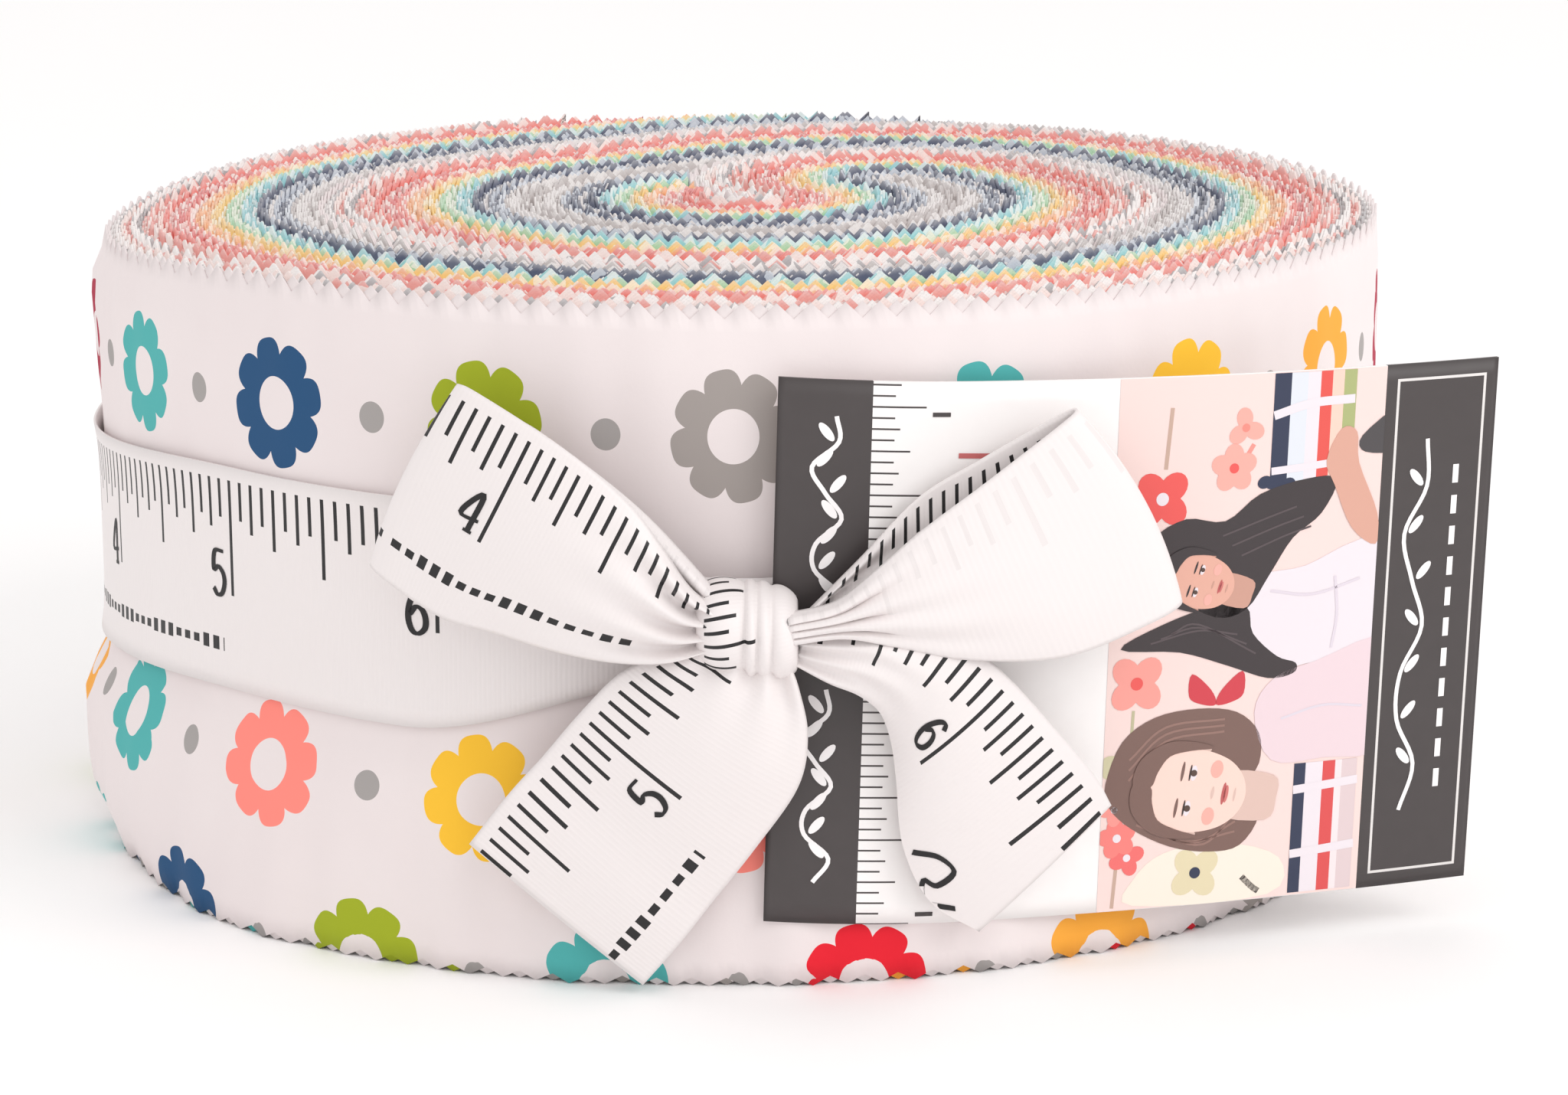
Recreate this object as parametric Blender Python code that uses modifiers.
"""Roll of precut quilting strips, tied with a ribbon bow and carrying a card label.

Forty strips of cotton lie in one stack. The stack is folded into a hairpin and
wound round it, so every strip runs core, hairpin, first wrap, second wrap.
Lengths are metres, +Z is up. The roll's axis is the Z axis and its base is Z = 0.
The front of the roll, where the bow is, faces -Y.
"""

import math

import bmesh
import bpy
from mathutils import Matrix, Vector

# ---------------------------------------------------------------- driving sizes

STRIP_WIDTH = 0.0635          # a 2 1/2 inch strip, so the roll's height
STRIP_COUNT = 40
STRIP_THICKNESS = 0.0005      # two plies of cotton
ROLL_RADIUS = 0.068
FOLD_BEARING = 40.0           # degrees from +X to the hairpin's fold line

RIBBON_WIDTH = 0.022
RIBBON_THICKNESS = 0.00035
RIBBON_GAP = 0.0003           # between the strips and the ribbon
BAND_LOW = 0.0308              # height of the band's middle at the back
BAND_LIFT = 0.0031             # how much higher the knot draws it at the front
BAND_RISE = (45.0, 85.0)       # degrees from the front between which it drops
KNOT_BEARING = -91.0
KNOT_END_GAP = 0.5             # degrees from the knot's bearing to each end of the band

LABEL_HEIGHT = 0.0513
LABEL_THICKNESS = 0.0006
LABEL_GAP = 0.0004            # between the ribbon band and the card
LABEL_MIDDLE = 0.0317         # height of the card's middle where it leaves the roll
LABEL_LEAN = 1.6              # degrees clockwise, as seen from the front
LABEL_STRAIGHT = 0.0246       # from where the card leaves the roll to its flexing line
LABEL_FLAP = 0.0277
LABEL_TURN = 15                # fine steps from the fold's bearing to where the card leaves
FLEX_GAP = 0.0004             # between the held part of the card and its flap

KNOT_SIZE = (0.0096, 0.0060, 0.0088)
KNOT_CENTRE = (0.0004, -0.0735, 0.0350)

LOOP_THICKNESS = 0.0055
TAIL_THICKNESS = 0.0018

# -------------------------------------------------------------- worked out sizes

PITCH = (ROLL_RADIUS - STRIP_THICKNESS / 2) / (3 * STRIP_COUNT)
STACK = STRIP_COUNT * PITCH   # thickness of the whole stack
FOLD_AXIS = Vector((math.cos(math.radians(FOLD_BEARING)), math.sin(math.radians(FOLD_BEARING))))
FOLD_SIDE = Vector((-FOLD_AXIS.y, FOLD_AXIS.x))
FOLD_POINT = FOLD_AXIS * STACK

CORE_STEP = 45.0              # degrees between a path's corners
WRAP_STEP = 22.5
FINE_STEP = 7.5
CORE_LOOSE = 225.0            # after this much of a core turn its corners come closer
BACK_STEP = 4.5               # the band's step where it crosses the strips' free ends
CORE_CLEARANCE = 0.0003
CORE_SKIP = 6                 # strips so near the axis that they start at the fold
CENTRE_LEAD = 0.0015          # straight start of the strip on the axis

# ------------------------------------------------------------------- materials

# base colour, roughness
FINISHES = {
    "grey": ((0.66, 0.62, 0.62), 0.9),
    "navy": ((0.10, 0.17, 0.32), 0.9),
    "aqua": ((0.52, 0.78, 0.78), 0.9),
    "yellow": ((0.95, 0.74, 0.38), 0.9),
    "coral": ((0.90, 0.38, 0.34), 0.9),
    "blush": ((0.93, 0.84, 0.82), 0.9),
    "floral": ((0.86, 0.82, 0.82), 0.9),
    "ribbon": ((0.90, 0.89, 0.88), 0.6),
    "card": ((0.85, 0.84, 0.83), 0.5),
}

# last strip of each colour, counted from the inside of the fold
STRIP_COLOURS = ((5, "grey"), (11, "navy"), (17, "aqua"), (23, "yellow"), (30, "coral"),
                 (39, "blush"), (40, "floral"))


def make_material(name):
    """A Principled material with the finish's colour and roughness."""
    colour, roughness = FINISHES[name]
    material = bpy.data.materials.new(name)
    material.use_nodes = True
    shader = material.node_tree.nodes["Principled BSDF"]
    shader.inputs["Base Color"].default_value = (*colour, 1.0)
    shader.inputs["Roughness"].default_value = roughness
    shader.inputs["Metallic"].default_value = 0.0
    material.diffuse_color = (*colour, 1.0)
    return material


def add_object(name, data, finish):
    """Put a mesh or curve in the object's collection, with a material of its own."""
    obj = bpy.data.objects.new(name, data)
    bpy.data.collections["quilting_strip_roll"].objects.link(obj)
    material = make_material(finish)
    material.name = f"{name}_{finish}"
    data.materials.append(material)
    return obj


# ------------------------------------------------------------------ strip paths

def arc(centre, radius, start, end, step):
    """Points of an arc at whole steps from its start angle, and its end. Degrees."""
    sweep = end - start
    count = max(1, math.ceil(abs(sweep) / step - 1e-6))
    angles = [start + math.copysign(step * k, sweep) for k in range(count)] + [end]
    return [centre + radius * (math.cos(math.radians(a)) * FOLD_AXIS
                               + math.sin(math.radians(a)) * FOLD_SIDE) for a in angles]


def core_end_angle(radius):
    """Angle past the fold line where a core turn must stop short of the hairpin."""
    keep_out = STACK + STRIP_THICKNESS / 2 + CORE_CLEARANCE
    worst = 0.0
    for edge in (radius - STRIP_THICKNESS / 2, radius + STRIP_THICKNESS / 2):
        cosine = (edge ** 2 + STACK ** 2 - keep_out ** 2) / (2 * edge * STACK)
        worst = max(worst, math.degrees(math.acos(max(-1.0, cosine))))
    return WRAP_STEP * math.ceil(worst / WRAP_STEP)


def core_points(index):
    """The turn round the roll's axis, from its dead end to the fold line."""
    radius = STACK - index * PITCH
    if index == STRIP_COUNT:
        return [-CENTRE_LEAD * FOLD_SIDE]
    if index > STRIP_COUNT - CORE_SKIP:
        return []
    stop = core_end_angle(radius)
    centre = Vector((0.0, 0.0))
    points = arc(centre, radius, 0.0, -CORE_LOOSE, CORE_STEP)
    points += arc(centre, radius, -CORE_LOOSE, stop - 360.0, WRAP_STEP)[1:]
    return points[:0:-1]


def tail_points(index):
    """The start of a third wrap, cut off where its outer face meets the roll's radius."""
    radius = 2 * STACK + index * PITCH
    outer = radius + STRIP_THICKNESS / 2
    run = math.sqrt(max(0.0, ROLL_RADIUS ** 2 - outer ** 2))
    if run <= STACK:
        return [radius * FOLD_SIDE + run * FOLD_AXIS] if run > PITCH else []
    cosine = (ROLL_RADIUS ** 2 - STACK ** 2 - outer ** 2) / (2 * STACK * outer)
    return arc(FOLD_POINT, radius, 90.0, math.degrees(math.acos(cosine)), WRAP_STEP)


def strip_path(index):
    """Centre line of one strip from its dead end in the core to its free end."""
    centre = Vector((0.0, 0.0))
    step = FINE_STEP if index == STRIP_COUNT else WRAP_STEP
    points = core_points(index)
    points += arc(FOLD_POINT, index * PITCH, 180.0, 0.0, CORE_STEP)
    points += arc(centre, STACK + index * PITCH, 0.0, -270.0, WRAP_STEP)[1:]
    points += arc(FOLD_POINT, STACK + index * PITCH, 90.0, 0.0, WRAP_STEP)
    points += arc(centre, 2 * STACK + index * PITCH, 0.0, -270.0, step)[1:]
    return points + tail_points(index)


# --------------------------------------------------------------- thin sheet parts

def sheet(name, points, heights, thickness, finish):
    """A closed sheet that stands on a plan path, with a low and a high edge per point."""
    shape = bmesh.new()
    low = [shape.verts.new((p.x, p.y, z[0])) for p, z in zip(points, heights)]
    high = [shape.verts.new((p.x, p.y, z[1])) for p, z in zip(points, heights)]
    for k in range(len(points) - 1):
        shape.faces.new((low[k], low[k + 1], high[k + 1], high[k]))
    mesh = bpy.data.meshes.new(name)
    shape.to_mesh(mesh)
    shape.free()
    obj = add_object(name, mesh, finish)
    wall = obj.modifiers.new("thickness", "SOLIDIFY")
    wall.thickness = thickness
    wall.offset = 0.0
    wall.use_even_offset = True
    return obj


def plan_point(radius, bearing):
    """A point in plan, by its distance from the roll's axis and degrees from +X."""
    return Vector((radius * math.cos(math.radians(bearing)), radius * math.sin(math.radians(bearing))))


def make_strips():
    """All forty strips of the stack."""
    for index in range(1, STRIP_COUNT + 1):
        finish = next(colour for last, colour in STRIP_COLOURS if index <= last)
        path = strip_path(index)
        sheet(f"strip_{index:02d}", path, [(0.0, STRIP_WIDTH)] * len(path), STRIP_THICKNESS, finish)


def rim_bearings(first, last):
    """The outer strip's corner bearings between two limits, going clockwise."""
    bearings = [FOLD_BEARING - FINE_STEP * k for k in range(int(270.0 / FINE_STEP) + 1)]
    return [b for b in bearings if last <= b <= first]


# ------------------------------------------------------------------------ ribbon

def band_middle(bearing):
    """Height of the ribbon band's middle at a bearing."""
    aside = abs(math.remainder(bearing + 90.0, 360.0))
    share = min(max((aside - BAND_RISE[0]) / (BAND_RISE[1] - BAND_RISE[0]), 0.0), 1.0)
    return BAND_LOW + BAND_LIFT * (1 - share * share * (3 - 2 * share))


def make_band():
    """The ribbon once round the roll, its two ends meeting under the knot."""
    radius = ROLL_RADIUS + RIBBON_GAP + RIBBON_THICKNESS / 2
    right = rim_bearings(FOLD_BEARING, KNOT_BEARING + KNOT_END_GAP)
    left = rim_bearings(KNOT_BEARING - KNOT_END_GAP, FOLD_BEARING - 270.0)
    back_count = round(90.0 / BACK_STEP)
    back = [FOLD_BEARING + 90.0 - BACK_STEP * k for k in range(1, back_count)]
    bearings = [KNOT_BEARING - KNOT_END_GAP] + left + back + right + [KNOT_BEARING + KNOT_END_GAP]
    radii = [radius * math.cos(math.radians(FINE_STEP / 2))] + [radius] * (len(bearings) - 2)
    radii += radii[:1]
    half = RIBBON_WIDTH / 2
    heights = [(band_middle(b) - half, band_middle(b) + half) for b in bearings]
    points = [plan_point(r, b) for r, b in zip(radii, bearings)]
    sheet("ribbon_band", points, heights, RIBBON_THICKNESS, "ribbon")


def make_knot():
    """The knot, a rounded block in front of the band."""
    shape = bmesh.new()
    bmesh.ops.create_cube(shape, size=1.0, matrix=Matrix.Diagonal((*KNOT_SIZE, 1.0)))
    mesh = bpy.data.meshes.new("ribbon_knot")
    shape.to_mesh(mesh)
    shape.free()
    knot = add_object("ribbon_knot", mesh, "ribbon")
    knot.location = KNOT_CENTRE
    rounding = knot.modifiers.new("rounding", "BEVEL")
    rounding.width = 0.0018
    rounding.segments = 3


# a bow piece lies in a plane that faces out at `bearing`, its inner face `distance` from
# the roll's axis; `outline` is (x, z) in millimetres as seen from the front; the hinge
# line passes through `hinge` (x, z), on the outer face, at `tilt` degrees from upright
BOW = {
    "ribbon_loop_left": dict(
        bearing=-102.0, distance=0.0701, thickness=LOOP_THICKNESS, hinge=(-5.2, 35.2), tilt=0.0,
        outline=((-5.2, 38.6), (-27.6, 56.1), (-32.6, 48.5), (-35.8, 37.7), (-18.0, 33.6), (-5.2, 32.4))),
    "ribbon_loop_right": dict(
        bearing=-78.0, distance=0.0716, thickness=LOOP_THICKNESS, hinge=(6.0, 37.4), tilt=0.0,
        outline=((6.0, 35.8), (9.6, 35.9), (22.3, 31.8), (33.0, 32.6), (40.7, 35.0), (36.4, 44.4),
                 (30.7, 54.1), (6.0, 39.2))),
    "ribbon_tail_left": dict(
        bearing=-96.0, distance=0.0703, thickness=TAIL_THICKNESS, hinge=(0.8, 32.6), tilt=-47.6,
        outline=((-10.3, 30.0), (-25.8, 14.5), (-14.6, 4.8), (1.3, 14.9), (5.4, 21.8), (5.4, 28.3),
                 (4.0, 29.8))),
    "ribbon_tail_right": dict(
        bearing=-80.0, distance=0.0712, thickness=TAIL_THICKNESS, hinge=(4.2, 33.6), tilt=43.3,
        outline=((6.4, 27.6), (10.0, 21.0), (14.4, 8.5), (22.7, 5.6), (33.0, 18.1), (21.2, 28.4),
                 (9.6, 33.2), (6.4, 32.6))),
}


def make_bow_piece(name, bearing, distance, thickness, outline, hinge, tilt):
    """A flat piece of the bow, cut to its outline, with its origin on its hinge line."""
    angle = math.radians(bearing)
    outward = Vector((math.cos(angle), math.sin(angle), 0.0))
    along = Vector((-math.sin(angle), math.cos(angle), 0.0))
    middle = distance + thickness / 2

    def in_plane(point):
        """Turn a point seen from the front into the piece's own plane."""
        return Vector(((point[0] * 0.001 - middle * outward.x) / along.x, point[1] * 0.001))

    origin = in_plane(hinge)
    curve = bpy.data.curves.new(name, "CURVE")
    curve.dimensions = "2D"
    curve.fill_mode = "BOTH"
    curve.extrude = thickness / 2
    spline = curve.splines.new("POLY")
    spline.points.add(len(outline) - 1)
    for corner, point in zip(spline.points, outline):
        flat = in_plane(point) - origin
        corner.co = (flat.x, flat.y, -thickness / 2, 1.0)
    spline.use_cyclic_u = True
    piece = add_object(name, curve, "ribbon")
    turned = Matrix((along, Vector((0.0, 0.0, 1.0)), outward)).transposed().to_4x4()
    place = outward * (distance + thickness) + along * origin.x + Vector((0.0, 0.0, origin.y))
    piece.matrix_world = Matrix.Translation(place) @ turned
    piece["hinge_tilt"] = tilt
    return piece


# ------------------------------------------------------------------------- label

def make_label():
    """The card: held on the roll by the knot, then straight, then its free flap."""
    radius = ROLL_RADIUS + RIBBON_GAP + RIBBON_THICKNESS + LABEL_GAP + LABEL_THICKNESS / 2
    leave = FOLD_BEARING - LABEL_TURN * FINE_STEP
    start = leave - 2 * FINE_STEP
    lean = math.radians(LABEL_LEAN)
    tangent = Vector((-math.sin(math.radians(leave)), math.cos(math.radians(leave))))
    off = plan_point(radius, leave)

    def edges(run):
        """Low and high edge of the leaning card, a run past where it leaves the roll."""
        middle = LABEL_MIDDLE - run * math.sin(lean)
        return (middle - LABEL_HEIGHT / 2, middle + LABEL_HEIGHT / 2)

    bearings = (start, start + FINE_STEP, leave)
    points = [plan_point(radius, b) for b in bearings]
    runs = [radius * math.radians(b - leave) for b in bearings]
    points.append(off + tangent * (LABEL_STRAIGHT - FLEX_GAP / 2))
    runs.append(LABEL_STRAIGHT - FLEX_GAP / 2)
    sheet("label_wrap", points, [edges(r) for r in runs], LABEL_THICKNESS, "card")

    ends = (LABEL_STRAIGHT + FLEX_GAP / 2, LABEL_STRAIGHT + LABEL_FLAP)
    hinge = off + tangent * LABEL_STRAIGHT
    flap = sheet("label_flap", [off + tangent * r - hinge for r in ends], [edges(r) for r in ends],
                 LABEL_THICKNESS, "card")
    flap.location = (hinge.x, hinge.y, 0.0)


def main():
    """Clear the scene's objects and build every piece."""
    for obj in list(bpy.data.objects):
        bpy.data.objects.remove(obj)
    collection = bpy.data.collections.new("quilting_strip_roll")
    bpy.context.scene.collection.children.link(collection)
    make_strips()
    make_band()
    make_knot()
    for name, shape in BOW.items():
        make_bow_piece(name, **shape)
    make_label()


main()
